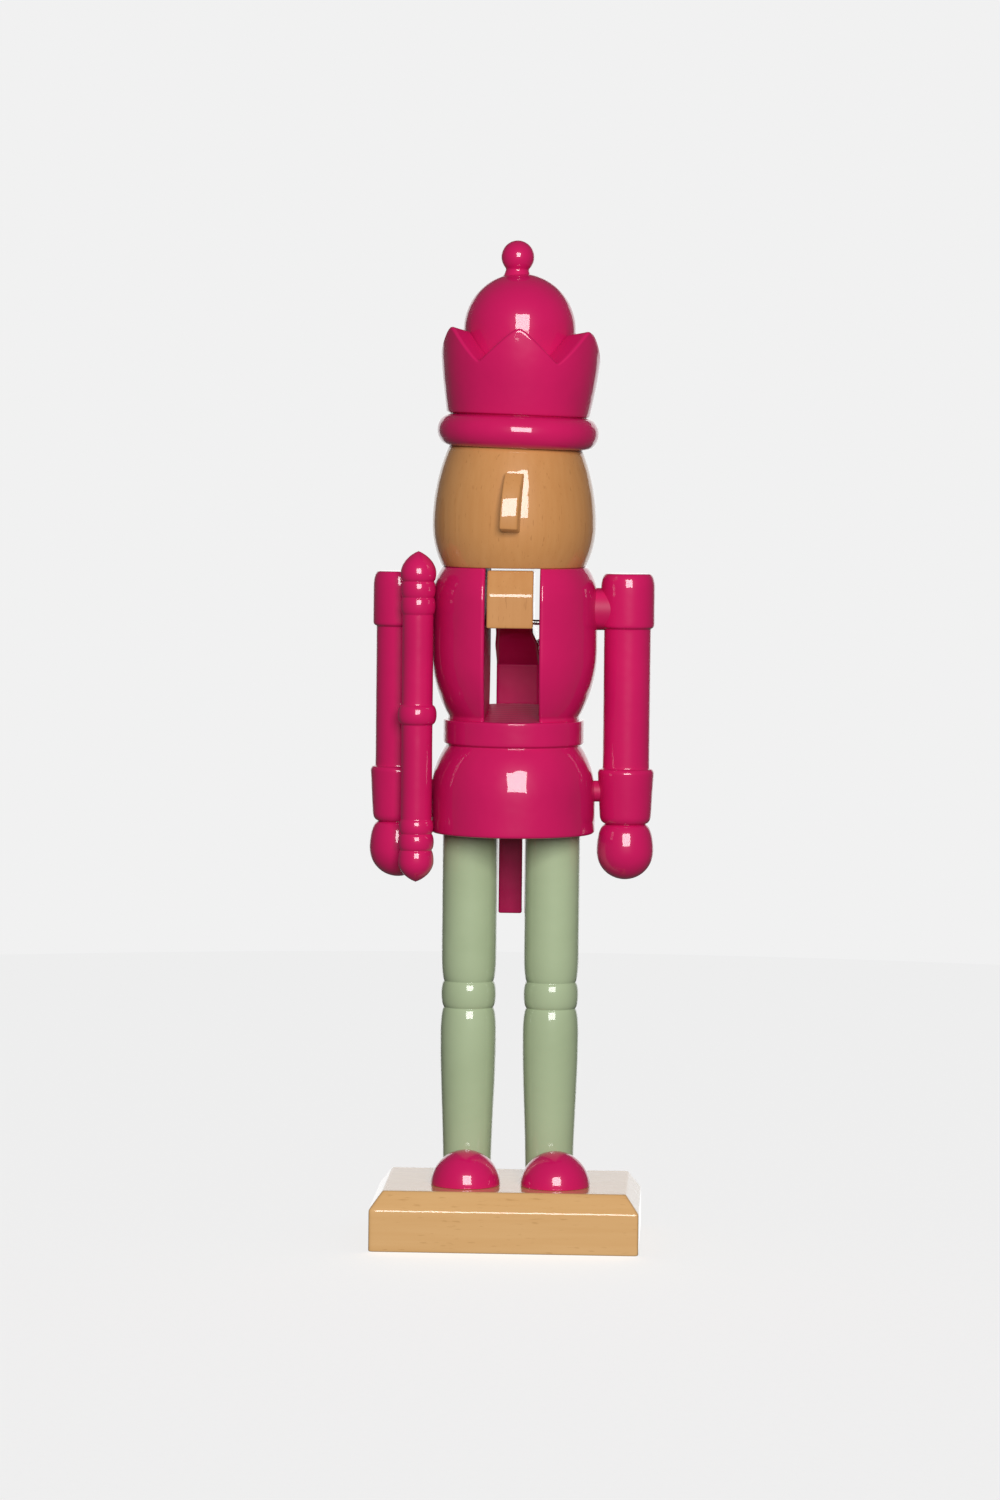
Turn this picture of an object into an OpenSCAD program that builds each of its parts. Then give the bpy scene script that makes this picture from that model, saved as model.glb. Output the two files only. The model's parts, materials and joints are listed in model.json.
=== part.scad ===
// Turned wooden nutcracker figure: a king with a crown, a staff and a jaw worked by a lever at the back.
// Millimetres. +Z is up, the figure faces -Y, and the origin is the centre of the base's underside.

/* [Base] */
// Width of the base block
base_w = 101.5; // [98:1:112]
// Depth of the base block
base_d = 69; // [64:1:80]
// Height of the base block
base_h = 22.5; // [20:0.5:26]
// Width of the bevel round the top of the base
bevel_w = 5; // [2:0.5:7]
// Height of the bevel round the top of the base
bevel_h = 6.8; // [3:0.2:9]
// How far the figure stands behind the middle of the base
figure_y = 6; // [4:0.5:8]

/* [Legs and shoes] */
// Distance from the middle of the figure to the axis of each leg
leg_x = 15.7; // [14.5:0.1:16]
// Radius of a leg above the knee
leg_r = 10.5; // [9:0.1:10.6]
// Radius of a leg at the ankle
ankle_r = 9.2; // [8.6:0.1:9.6]
// Radius of a shoe
shoe_r = 13.2; // [12:0.1:13.5]
// How far the middle of a shoe is in front of its leg
shoe_forward = 16.7; // [15:0.1:17.5]
// How far the middle of a shoe is outside its leg
shoe_outward = 1.3; // [0.8:0.1:1.5]

/* [Coat] */
// Height of the skirt's lower edge above the ground
skirt_z = 155.4; // [153:0.1:158]
// Radius of the skirt
skirt_r = 31.4; // [30:0.1:31.5]
// Radius of the belt
belt_r = 26.8; // [25.4:0.1:27]
// Radius of the chest
chest_r = 31.6; // [31:0.1:31.8]
// Height of the top of the chest above the ground
chest_top_z = 256.5; // [255.5:0.1:257.5]

/* [Jaw and lever] */
// Width of the slot through the chest
slot_w = 20.5; // [19.5:0.1:21]
// Width of the jaw block
jaw_w = 17.4; // [16:0.1:18.4]
// Width of the lever inside the slot
lever_w = 16.7; // [13.5:0.1:16.9]
// Width of the handle that hangs behind the skirt
handle_w = 9.1; // [8:0.1:13]
// Radius of the steel pin that the lever turns on
pin_r = 1; // [0.8:0.05:1.5]
// Radial clearance between the pin and the lever's bore
pin_gap = 0.05; // [0.02:0.01:0.1]

/* [Head and hat] */
// Greatest radius of the head
head_r = 31.1; // [30:0.1:31.5]
// Width of the nose
nose_w = 6.8; // [5.5:0.1:8]
// How far the hat leans to one side, in degrees
hat_lean = 1.6; // [0:0.1:2]
// Radius of the brim
brim_r = 30.7; // [29:0.1:31]
// Greatest radius of the crown's cup
cup_r = 30.4; // [29.8:0.1:30.5]
// Number of points on the crown
teeth = 6; // [4:1:7]
// Radius of the dome inside the crown
dome_r = 21.3; // [20.5:0.1:21.4]
// Radius of the ball on top
ball_r = 6.3; // [5.2:0.1:6.4]

/* [Arms and staff] */
// Distance from the middle of the figure to the axis of each arm
arm_x = 43.25; // [43.2:0.05:44.5]
// Radius of an arm
arm_r = 8.95; // [8.4:0.05:9.2]
// Radius of a hand
hand_r = 10.9; // [10.4:0.1:11]
// Radius of the staff's shaft
staff_r = 5.9; // [5:0.1:6]

/* [Hidden] */

$fn = 96;
wood = "#cb9a63";
paint = "#c41e5a";
sage = "#aaba94";
steel = "#6b6b6e";
eps = 0.01;                  // cutters run this far past a face
steps = 12;                  // straight stretches along each curved part of a turned outline
far = 60;                    // longer than anything that it has to reach across
end_gap = 0.4;               // free space at each end of a dowel's hole

// Legs and shoes
tenon_r = 5;                 // round tenons on both ends of a leg
foot_tenon = 12;             // length of the tenon in the base
hip_tenon = 15;              // length of the tenon in the skirt
calf_r = leg_r + 0.2;
calf_z = 78.5;               // widest place of the calf
leg_groove_r = leg_r - 1.2;  // grooves above and below the knee
knee_z = 93.4;
knee_h = 10;
thigh_z = 108;               // above this the leg is straight
shoe_back = 8;               // the shoe is cut off this far in front of the leg's axis
shoe_gap = 0.1;
shoe_shift = 1.6;            // both shoes sit a little towards the figure's left

// Coat
coat_shift = 0.4;            // sideways offset of the coat
hem_round = 1;
hip_z = 170;                 // widest place of the skirt
hip_bend = 33;               // curvature radius of the hip
belt_z0 = 189.6;
belt_z1 = 198.5;
belt_round = 0.4;
waist_r = 25;
bust_z = 225;                // above this the chest is straight
bust_bend = 51.5;            // curvature radius of the chest below it
waist_z = 201.4;             // where the chest's curve meets the waist
shoulder_start = 244;        // above this the shoulders curve in
shoulder_bend = 21.1;
slot_rise = 4.5;             // rise of the slot's floor behind the figure's axis

// Jaw and lever, all measured from the figure's axis: forwards for the jaw, backwards for the lever
pivot_y = 1;
pivot_z = 235.4;
pin_half = 30.5;             // half the pin's length
jaw_front = 30.3;
jaw_back = 7;
jaw_z0 = 234.2;
jaw_z1 = 255.8;
jaw_bevel = 4.5;             // the jaw's upper front edge slopes back with the shoulders
jaw_bevel_h = 8.9;
jaw_dowel_r = 2.5;
jaw_dowel_z = 242.5;
jaw_dowel_in = 4.5;          // into the lever; it goes twice as far into the jaw
jaw_x = -0.4;                // sideways offset of the jaw
lever_top_z = 251.5;
arm_under_z = 233.2;         // underside of the arm
arm_level_y = 2;             // the underside is level as far back as this
arm_top_y = -4.5;            // the upper side slopes down from here
handle_y = 32.2;             // front of the handle, just behind the skirt
handle_t = 8.5;              // thickness of the handle
handle_z = 121;              // lower end of the handle
handle_bend_z = 217.8;       // where the lever's lower side turns down
handle_back_z = 228;         // where its upper side turns down
arm_x0 = -7;                 // sides of the arm, above arm_z
arm_x1 = 7.1;
arm_z = 231;
lever_x0 = 0.65 - lever_w / 2;  // sides of the lever from lever_low_z to lever_z
lever_x1 = 0.65 + lever_w / 2;
lever_z = 226;
lever_low_z = 194.8;
handle_x0 = -1.5 - handle_w / 2;  // sides of the handle below handle_top_z
handle_x1 = -1.5 + handle_w / 2;
handle_top_z = 166.8;

// Head and nose
head_shift = -0.2;
cheek_z = 272.5;             // widest place of the head
jowl_bend = 35.5;             // curvature radius below it
brow_bend = 76;              // curvature radius above it
head_top_z = 301.4;
neck_x = 18.5;               // neck dowels, one in each side of the chest
neck_dowel_r = 3;
neck_dowel_in = 9;
nose_x = 0.3;                // sideways place of the nose on the face
nose_z = 280.55;
nose_h = 23.3;
nose_back = 26;              // the nose's root, let into the face
nose_deep = 6.5;             // how far the nose stands out at its deepest place
nose_bend = 27;              // curvature radius of its front
nose_top_angle = 38;         // slope of the front at its top
nose_low_angle = 8;          // and the other way at its bottom
nose_mid = nose_h / 2 - 0.5 - nose_bend * sin(nose_top_angle);  // height of the deepest place
nose_lean = 2.6;
nose_turn = 7.7;

// Hat, measured up from its underside
hat_shift = 0.7;
brim_in_r = 25.5;
brim_h = 12.2;
cup_foot_r = cup_r - 3.2;
cup_foot_z = 12.8;
cup_wide_z = 41;             // widest place of the cup
cup_h = 46.4;
lip_round = 2.5;
tip_r = cup_r - 0.5;         // radius at the tips of the points
notch_r = cup_r - 0.5;
tip_z = 46.2;                // height of the tips
notch_z = 31.5;              // lowest place of the notches, on the outside
notch_axis_z = 38.6;          // the notches' lowest lines meet the hat's axis here
notch_tilt = atan((notch_axis_z - notch_z) / notch_r);
notch_side = tip_r * sin(180 / teeth);
notch_up = tip_r * cos(180 / teeth) * sin(notch_tilt) + (tip_z - notch_axis_z) * cos(notch_tilt);
dome_shift = -0.8;
dome_floor = 28;             // bottom of the bore for the dome
dome_z = 44.7;               // middle of the dome's ball
hat_dowel_r = 4;
hat_dowel_in = 10;
finial_shift = -1.8;
finial_peg_r = 2;
finial_peg_in = 8;
finial_neck_r = 4.4;
finial_foot_r = 5;
finial_foot_z = dome_z + dome_r - 1;
finial_neck_z = finial_foot_z + 2;
ball_z = dome_z + dome_r + 6;  // middle of the ball on top

// Arms
shoulder_z = 240.8;
peg_r = 3;                   // shoulder pegs
peg_x = 23;                  // inner end of the peg's hole
peg_in_arm = 4;              // the peg passes the arm's axis by this much
collar_r = 8;                // collar that fills the space between chest and arm
cap_r = arm_r + 1.3;         // shoulder cap
cap_z0 = 233.6;
cap_z_edge = 1.2;            // height of the cap's lower edge
cap_z1 = 254.4;
cap_round = 2;
edge_round = 0.8;
cuff_r = arm_r + 1.8;
cuff_low_r = arm_r + 0.9;
cuff_z1 = 180.2;
wrist_r = 7.4;               // groove between the cuff and the hand
wrist_z = 159.2;
cuff_low_z = 162.5;
hand_z = 148.9;              // middle of the hand's ball
cuff_pad_z = 171.5;
cuff_pad_r = 4;

// Staff
staff_x = 35.5;
staff_y = 16.1;              // how far the staff stands in front of the arm's axis
staff_z0 = 137.4;
staff_z1 = 262.5;
staff_end_r = staff_r + 0.9;
staff_bead_r = staff_r + 0.7;
staff_ring_r = staff_r + 1.55;
staff_groove_r = staff_r - 0.1;
staff_peg_r = 1.5;
staff_peg_in = 4;
staff_peg_z = 147.5;
low_wide_z = 145.3;          // widest places of the two pointed ends
top_wide_z = 254;
low_beads = [149.5, 155.7, 161];
high_beads = [238.7, 245, 251.1];
ring_z0 = 197.1;
ring_z1 = 204.4;

// ---- turned outlines: lists of [radius, height], from the bottom up ----

// Points round a circle of radius r about [cx, cz], from angle a0 to angle a1
function arc(cx, cz, r, a0, a1) =
    [for (i = [0:steps]) let (a = a0 + (a1 - a0) * i / steps) [cx + r * cos(a), cz + r * sin(a)]];

// A bead, or a groove where mid is less than end: half an ellipse between two heights
function bead(z0, z1, end, mid) =
    [for (i = [0:steps]) let (a = 180 * i / steps)
        [end + (mid - end) * sin(a), (z0 + z1) / 2 - (z1 - z0) / 2 * cos(a)]];

// A quarter of an ellipse that rises from a groove to its full radius
function swell(z_groove, r_groove, z_full, r_full) =
    [for (i = [0:steps]) let (a = 90 * i / steps)
        [r_groove + (r_full - r_groove) * sin(a), z_groove + (z_full - z_groove) * (1 - cos(a))]];

// The same quarter the other way up: from the full radius to the groove above it
function shrink(z_full, r_full, z_groove, r_groove) =
    let (back = swell(z_groove, r_groove, z_full, r_full))
    [for (i = [0:steps]) back[steps - i]];

// A flare that starts steep and ends upright at its full radius
function flare(z0, r0, z1, r1) =
    [for (i = [0:steps]) [r0 + (r1 - r0) * sin(90 * i / steps), z0 + (z1 - z0) * i / steps]];

// A smooth taper between two radii, upright at both ends
function taper(z0, r0, z1, r1) =
    [for (i = [0:steps]) [r0 + (r1 - r0) * (1 - cos(180 * i / steps)) / 2, z0 + (z1 - z0) * i / steps]];

// A belly of curvature radius bend whose widest place is r_max at z_max, between two heights
function belly_r(r_max, z_max, bend, z) = r_max - bend + sqrt(bend * bend - (z - z_max) * (z - z_max));
function belly(r_max, z_max, bend, z0, z1) =
    [for (i = [0:steps]) let (z = z0 + (z1 - z0) * i / steps) [belly_r(r_max, z_max, bend, z), z]];

// The point on the axis level with an outline's end, unless the outline ends there
function on_axis_of(end) = end[0] > 0 ? [[0, end[1]]] : [];

// A solid turned from an outline; its ends are closed to the axis
module turned(outline) {
    last = outline[len(outline) - 1];
    rotate_extrude() polygon(concat(on_axis_of(outline[0]), outline, on_axis_of(last)));
}

// A round dowel, or its hole, between two heights
module dowel(r, z0, z1) {
    translate([0, 0, z0]) cylinder(r = r, h = z1 - z0);
}

// A round bar along X between two places
module bar_x(r, x0, x1) {
    translate([x0, 0, 0]) rotate([0, 90, 0]) cylinder(r = r, h = x1 - x0);
}

// A side view in Y and Z, made as wide as w across X
module side_view(w) {
    rotate([90, 0, 90]) translate([0, 0, -w / 2]) linear_extrude(w) children();
}

// Moves a piece to the figure's own axis, or beside it
module on_axis(x = 0, z = 0) {
    translate([x, figure_y, z]) children();
}

// The same for a piece drawn towards +X, turned round to -X for the other side
module on_side(side, z) {
    on_axis(0, z) rotate([0, 0, side < 0 ? 180 : 0]) children();
}

// ---- base ----

module bevelled_outline(w) {
    polygon([[-w / 2, 0], [w / 2, 0], [w / 2, base_h - bevel_h], [w / 2 - bevel_w, base_h],
             [-w / 2 + bevel_w, base_h], [-w / 2, base_h - bevel_h]]);
}

module base_block() {
    color(wood) difference() {
        intersection() {
            side_view(base_w) bevelled_outline(base_d);
            rotate([0, 0, 90]) side_view(base_d) bevelled_outline(base_w);
        }
        for (side = [-1, 1]) on_axis(side * leg_x) dowel(tenon_r, base_h - foot_tenon, base_h + eps);
    }
}

// ---- legs and shoes ----

module leg(side) {
    color(sage) on_axis(side * leg_x) turned(concat(
        [[tenon_r, base_h - foot_tenon], [tenon_r, base_h]],
        taper(base_h, ankle_r, calf_z, calf_r),
        shrink(calf_z, calf_r, knee_z - knee_h / 2, leg_groove_r),
        bead(knee_z - knee_h / 2, knee_z + knee_h / 2, leg_groove_r, leg_r),
        swell(knee_z + knee_h / 2, leg_groove_r, thigh_z, leg_r),
        [[leg_r, skirt_z], [tenon_r, skirt_z], [tenon_r, skirt_z + hip_tenon]]));
}

// Half a ball, flat on the base, cut away behind to fit round the front of the leg
module shoe(side) {
    color(paint) on_axis(side * leg_x, base_h) difference() {
        translate([shoe_shift + side * shoe_outward, -shoe_forward, 0]) sphere(r = shoe_r);
        translate([-far / 2, -far, -far]) cube([far, 2 * far, far]);
        translate([-far / 2, -shoe_back, -eps]) cube([far, far, far]);
        dowel(ankle_r + shoe_gap, -eps, shoe_r * 2);
    }
}

// ---- coat: skirt, belt and chest turned in one piece, with the lever's slot cut through the chest ----

module coat_outline() {
    turned(concat(
        arc(skirt_r - hem_round, skirt_z + hem_round, hem_round, -90, 0),
        belly(skirt_r, hip_z, hip_bend, hip_z, belt_z0 - belt_round),
        arc(belt_r - belt_round, belt_z0 + belt_round, belt_round, -90, 0),
        arc(belt_r - belt_round, belt_z1 - belt_round, belt_round, 0, 90),
        [[waist_r, belt_z1]],
        belly(chest_r, bust_z, bust_bend, waist_z, bust_z),
        belly(chest_r, shoulder_start, shoulder_bend, shoulder_start, chest_top_z)));
}

module coat_body() {
    color(paint) difference() {
        on_axis(coat_shift) coat_outline();
        on_axis(coat_shift) slot();
        for (side = [-1, 1]) {
            on_axis(side * leg_x) dowel(tenon_r, skirt_z - eps, skirt_z + hip_tenon);
            on_axis(side * neck_x) dowel(neck_dowel_r, chest_top_z - neck_dowel_in, chest_top_z + eps);
            on_side(side, shoulder_z) bar_x(peg_r, peg_x, far);
        }
        on_axis(0, pivot_z) translate([0, pivot_y, 0]) bar_x(pin_r, -far, far);
    }
}

// The slot runs from front to back and from the top down to the belt; its floor rises a little behind
module slot() {
    side_view(slot_w) polygon([
        [-far, belt_z1], [-belt_r, belt_z1], [belt_r, belt_z1 + slot_rise], [far, belt_z1 + slot_rise],
        [far, chest_top_z + eps], [-far, chest_top_z + eps]]);
}

// ---- head ----

module head() {
    cheek = belly(head_r, cheek_z, jowl_bend, chest_top_z, cheek_z);
    brow = belly(head_r, cheek_z, brow_bend, cheek_z, head_top_z + 2);
    color(wood) difference() {
        on_axis(head_shift) turned(concat(cheek, brow));
        // the top is cut to the hat's lean
        on_axis() hat_place() translate([-far, -far, 0]) cube([2 * far, 2 * far, far]);
        nose_place() nose_block(nose_w);
        for (side = [-1, 1])
            on_axis(side * neck_x) dowel(neck_dowel_r, chest_top_z - eps, chest_top_z + neck_dowel_in);
        on_axis() hat_place() dowel(hat_dowel_r, -hat_dowel_in, eps);
    }
}

module neck_dowels() {
    color(wood) for (side = [-1, 1])
        on_axis(side * neck_x)
            dowel(neck_dowel_r, chest_top_z - neck_dowel_in + end_gap, chest_top_z + neck_dowel_in - end_gap);
}

// The nose leans and turns a little about the place where it meets the face
module nose_place() {
    on_axis(head_shift + nose_x, nose_z) rotate([0, nose_lean, 0])
        translate([0, -head_r, 0]) rotate([0, 0, -nose_turn]) translate([0, head_r, 0]) children();
}

// Side view of the nose: let into the face, with a rounded front that is deepest near the bottom
module nose_block(w) {
    front = arc(-head_r - nose_deep + nose_bend, nose_mid, nose_bend, 180 - nose_top_angle, 180 + nose_low_angle);
    side_view(w) polygon(concat(
        [[-nose_back, nose_h / 2], [front[0][0], nose_h / 2]], front, [[-nose_back, -nose_h / 2]]));
}

module nose() {
    color(wood) nose_place() nose_block(nose_w);
}

// ---- hat ----

// The middle of the hat's underside, with the hat's lean
module hat_place() {
    translate([hat_shift, 0, head_top_z]) rotate([0, hat_lean, 0]) children();
}

module hat_dowel() {
    color(wood) on_axis() hat_place() dowel(hat_dowel_r, -hat_dowel_in + end_gap, hat_dowel_in - end_gap);
}

// Brim and cup in one turned piece, bored for the dome, with V notches between the points
module crown() {
    color(paint) on_axis() hat_place() difference() {
        turned(concat(
            bead(0, brim_h, brim_in_r, brim_r),
            flare(cup_foot_z, cup_foot_r, cup_wide_z, cup_r),
            arc(cup_r - lip_round, cup_h - lip_round, lip_round, 0, 90)));
        translate([dome_shift, 0, dome_floor]) cylinder(r = dome_r, h = far);
        for (i = [0:teeth - 1]) rotate([0, 0, (i + 0.5) * 360 / teeth - 90]) notch();
        dowel(hat_dowel_r, -eps, hat_dowel_in);
    }
}

// A V cut that runs outwards and downwards from the hat's axis
module notch() {
    translate([0, 0, notch_axis_z]) rotate([0, notch_tilt, 0]) rotate([90, 0, 90]) linear_extrude(far)
        polygon([[0, 0], [notch_side * 2, notch_up * 2], [-notch_side * 2, notch_up * 2]]);
}

// A ball's upper half on a plain round plug
module dome() {
    color(paint) on_axis() hat_place() translate([dome_shift, 0, 0]) difference() {
        union() {
            dowel(dome_r, dome_floor, dome_z);
            translate([0, 0, dome_z]) sphere(r = dome_r);
        }
        translate([-far, -far, dome_floor - far]) cube([2 * far, 2 * far, far]);
        translate([finial_shift, 0, 0]) dowel(finial_peg_r, dome_z + dome_r - finial_peg_in, far * 2);
    }
}

// A ball with a short neck, hollowed to sit on the dome, and a peg into it
module finial() {
    peg_z = dome_z + dome_r - finial_peg_in + end_gap;
    color(paint) on_axis() hat_place() translate([dome_shift + finial_shift, 0, 0]) union() {
        difference() {
            union() {
                turned([[finial_foot_r, dome_z], [finial_foot_r, finial_foot_z],
                        [finial_neck_r, finial_neck_z], [finial_neck_r, ball_z]]);
                translate([0, 0, ball_z]) sphere(r = ball_r);
            }
            translate([-finial_shift, 0, dome_z]) sphere(r = dome_r);
        }
        dowel(finial_peg_r, peg_z, ball_z);
    }
}

// ---- jaw and lever: they turn together on the pin ----

module jaw() {
    color(wood) on_axis() difference() {
        translate([jaw_x, 0, 0]) side_view(jaw_w) polygon([
            [-jaw_back, jaw_z0], [-jaw_back, jaw_z1], [-jaw_front + jaw_bevel, jaw_z1],
            [-jaw_front, jaw_z1 - jaw_bevel_h], [-jaw_front, jaw_z0]]);
        jaw_dowel_shape(0);
    }
}

module jaw_dowel_shape(gap) {
    translate([0, -jaw_back, jaw_dowel_z]) rotate([90, 0, 0])
        translate([0, 0, -jaw_dowel_in + gap]) cylinder(r = jaw_dowel_r, h = 3 * jaw_dowel_in - 2 * gap);
}

module jaw_dowel() {
    color(wood) on_axis() jaw_dowel_shape(end_gap);
}

// A bar cut from a board: its arm slopes down and back through the slot, and its handle hangs behind the skirt
module lever() {
    color(paint) on_axis() difference() {
        intersection() {
            side_view(slot_w) polygon([
                [-jaw_back, lever_top_z], [-jaw_back, arm_under_z], [arm_level_y, arm_under_z],
                [handle_y, handle_bend_z], [handle_y, handle_z],
                [handle_y + handle_t, handle_z], [handle_y + handle_t, handle_back_z],
                [arm_top_y, lever_top_z]]);
            rotate([90, 0, 0]) translate([0, 0, -far]) linear_extrude(2 * far) polygon([
                [arm_x0, lever_top_z], [arm_x1, lever_top_z], [arm_x1, arm_z], [lever_x1, lever_z],
                [lever_x1, lever_low_z], [handle_x1, handle_top_z], [handle_x1, handle_z],
                [handle_x0, handle_z], [handle_x0, handle_top_z], [lever_x0, lever_low_z],
                [lever_x0, lever_z], [arm_x0, arm_z]]);
        }
        translate([0, pivot_y, pivot_z]) bar_x(pin_r + pin_gap, -far, far);
        jaw_dowel_shape(0);
    }
}

module pivot_pin() {
    color(steel) on_axis(0, pivot_z) translate([0, pivot_y, 0]) bar_x(pin_r, -pin_half, pin_half);
}

// ---- arms ----

// Shoulder cap, arm, cuff and hand in one turned piece
module arm(side) {
    color(paint) difference() {
        on_axis(side * arm_x) turned(concat(
            arc(0, hand_z, hand_r, -90, 0),
            shrink(hand_z, hand_r, wrist_z, wrist_r),
            swell(wrist_z, wrist_r, cuff_low_z, cuff_low_r),
            arc(cuff_r - edge_round, cuff_z1 - edge_round, edge_round, 0, 90),
            [[arm_r, cuff_z1], [arm_r, cap_z0]],
            swell(cap_z0, arm_r, cap_z0 + cap_z_edge, cap_r),
            arc(cap_r - cap_round, cap_z1 - cap_round, cap_round, 0, 90)));
        on_side(side, shoulder_z) bar_x(peg_r, 0, arm_x + peg_in_arm);
        if (side < 0) staff_peg_shape(0);
    }
}

// A peg with a collar that fills the space between the chest and the arm
module shoulder_peg(side) {
    color(paint) on_side(side, 0) {
        translate([0, 0, shoulder_z]) bar_x(peg_r, peg_x + end_gap, arm_x + peg_in_arm - end_gap);
        between_coat_and_arm(side, cap_r)
            translate([0, 0, shoulder_z]) bar_x(collar_r, waist_r, arm_x);
    }
}

// A dab of glue under the paint that ties the cuff to the skirt
module cuff_pad(side) {
    color(paint) on_side(side, 0)
        between_coat_and_arm(side, cuff_low_r)
            translate([0, 0, cuff_pad_z]) bar_x(cuff_pad_r, waist_r, arm_x);
}

// Keeps what lies between the coat and the arm, whose radius there is r
module between_coat_and_arm(side, r) {
    difference() {
        children();
        translate([side * coat_shift, 0, 0]) coat_outline();
        translate([arm_x, 0, 0]) dowel(r, 0, cap_z1);
    }
}

// ---- staff ----

// A blunt point from its tip to its widest place
function tip(z_tip, z_wide, r_wide) =
    [for (i = [0:steps]) let (a = 90 * i / steps)
        [r_wide * sin(a), z_tip + (z_wide - z_tip) * (i / steps + 1 - cos(a)) / 2]];

module staff_outline() {
    top_end = tip(staff_z1, top_wide_z, staff_end_r);
    turned(concat(
        tip(staff_z0, low_wide_z, staff_end_r),
        shrink(low_wide_z, staff_end_r, low_beads[0], staff_groove_r),
        bead(low_beads[0], low_beads[1], staff_groove_r, staff_end_r),
        bead(low_beads[1], low_beads[2], staff_groove_r, staff_bead_r),
        bead(ring_z0, ring_z1, staff_r, staff_ring_r),
        bead(high_beads[0], high_beads[1], staff_groove_r, staff_bead_r),
        bead(high_beads[1], high_beads[2], staff_groove_r, staff_bead_r),
        swell(high_beads[2], staff_groove_r, top_wide_z, staff_end_r),
        [for (i = [steps:-1:0]) top_end[i]]));
}

module staff() {
    color(paint) difference() {
        on_axis(-staff_x) translate([0, -staff_y, 0]) staff_outline();
        staff_peg_shape(0);
    }
}

// A thin peg from the right hand into the staff
module staff_peg_shape(gap) {
    reach = norm([arm_x - staff_x, staff_y]);
    on_axis(-arm_x, staff_peg_z) rotate([0, 0, atan2(-staff_y, arm_x - staff_x)])
        bar_x(staff_peg_r, hand_r - staff_peg_in + gap, reach - staff_end_r + staff_peg_in - gap);
}

module staff_peg() {
    color(wood) staff_peg_shape(end_gap);
}

// ---- the pieces, one node each ----

base_block();
leg(1);  // left_leg
leg(-1);  // right_leg
shoe(1);  // left_shoe
shoe(-1);  // right_shoe
coat_body();
neck_dowels();
head();
nose();
hat_dowel();
crown();
dome();
finial();
jaw();
jaw_dowel();
lever();
pivot_pin();
shoulder_peg(1);  // left_shoulder_peg
shoulder_peg(-1);  // right_shoulder_peg
arm(1);  // left_arm
arm(-1);  // right_arm
cuff_pad(1);  // left_cuff_pad
cuff_pad(-1);  // right_cuff_pad
staff();
staff_peg();
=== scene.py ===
# %% [markdown]
# A turned wooden nutcracker king, about 38 cm tall: a wooden block, two turned legs, a coat and
# arms turned on a lathe, a head with a block for a nose, and a crown with a ball on top.
# A flat lever goes through a slot in the chest and works the jaw.
# The CAD model gives the main places: the figure's axis, legs, arms, hem, block and pin. The
# outlines below repeat the sizes of its drawing, so a change to the drawing is made here too.
# This script makes the finished surfaces and the paint.

# %% Load the CAD frame
import json
from math import ceil, cos, pi, radians, sin, tan
import bpy
import numpy as np
from mathutils import Matrix, Vector

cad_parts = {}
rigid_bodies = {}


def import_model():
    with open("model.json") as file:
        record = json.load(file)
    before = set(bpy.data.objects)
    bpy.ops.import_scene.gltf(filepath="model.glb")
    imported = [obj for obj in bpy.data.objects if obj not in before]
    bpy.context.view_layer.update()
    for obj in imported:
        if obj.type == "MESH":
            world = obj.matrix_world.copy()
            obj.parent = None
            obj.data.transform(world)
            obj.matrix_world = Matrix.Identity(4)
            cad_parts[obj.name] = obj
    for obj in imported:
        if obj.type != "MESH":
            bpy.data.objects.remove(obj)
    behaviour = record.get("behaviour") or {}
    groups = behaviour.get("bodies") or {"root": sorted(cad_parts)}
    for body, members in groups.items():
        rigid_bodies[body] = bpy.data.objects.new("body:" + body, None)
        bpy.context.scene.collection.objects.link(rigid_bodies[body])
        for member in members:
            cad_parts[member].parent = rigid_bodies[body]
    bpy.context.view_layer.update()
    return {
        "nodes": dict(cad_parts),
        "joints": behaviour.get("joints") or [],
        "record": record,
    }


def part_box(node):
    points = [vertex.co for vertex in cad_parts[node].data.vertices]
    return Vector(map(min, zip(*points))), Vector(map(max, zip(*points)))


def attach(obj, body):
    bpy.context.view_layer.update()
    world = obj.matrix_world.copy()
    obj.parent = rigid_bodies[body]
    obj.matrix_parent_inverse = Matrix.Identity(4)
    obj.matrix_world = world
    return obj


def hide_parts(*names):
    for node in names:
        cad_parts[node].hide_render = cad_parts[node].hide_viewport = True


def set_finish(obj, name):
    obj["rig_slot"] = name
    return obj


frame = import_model()
joint = frame["joints"][0]

# %% [markdown]
# Sizes on a drawing are in millimetres and Blender works in metres, so every length below is
# multiplied by MM once, where the points go into a mesh. AXIS is the upright line that the figure
# is turned about: it stands a little behind the middle of the block.

# %% Units and the figure's own axis
MM = 0.001


def span(node):
    """Lowest and highest corner of a CAD node, in millimetres."""
    low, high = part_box(node)
    return np.array(low) / MM, np.array(high) / MM


leg_low, leg_high = span("left_leg")
AXIS_Y = (leg_low[1] + leg_high[1]) / 2
LEG_X = (leg_low[0] + leg_high[0]) / 2
ARM_X = sum(side[0] for side in span("left_arm")) / 2
PIVOT = np.array(joint["pos_m"]) / MM
print(f"axis at y {AXIS_Y:.2f} mm, legs at x {LEG_X:.2f}, arms at x {ARM_X:.2f}, pin at z {PIVOT[2]:.1f}")

# %% [markdown]
# A lathe-turned piece is one outline swept round an axis. The outline is a list of
# (radius, height) points, from the bottom to the top. A few curves make every outline here:
# arcs, beads and grooves, and long bellies.

# %% Curves for outlines
STEPS = 24                                   # points along each curved part


def pts(*pairs):
    """Single points of an outline, as rows of radius and height."""
    return np.array(pairs, float)


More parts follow.
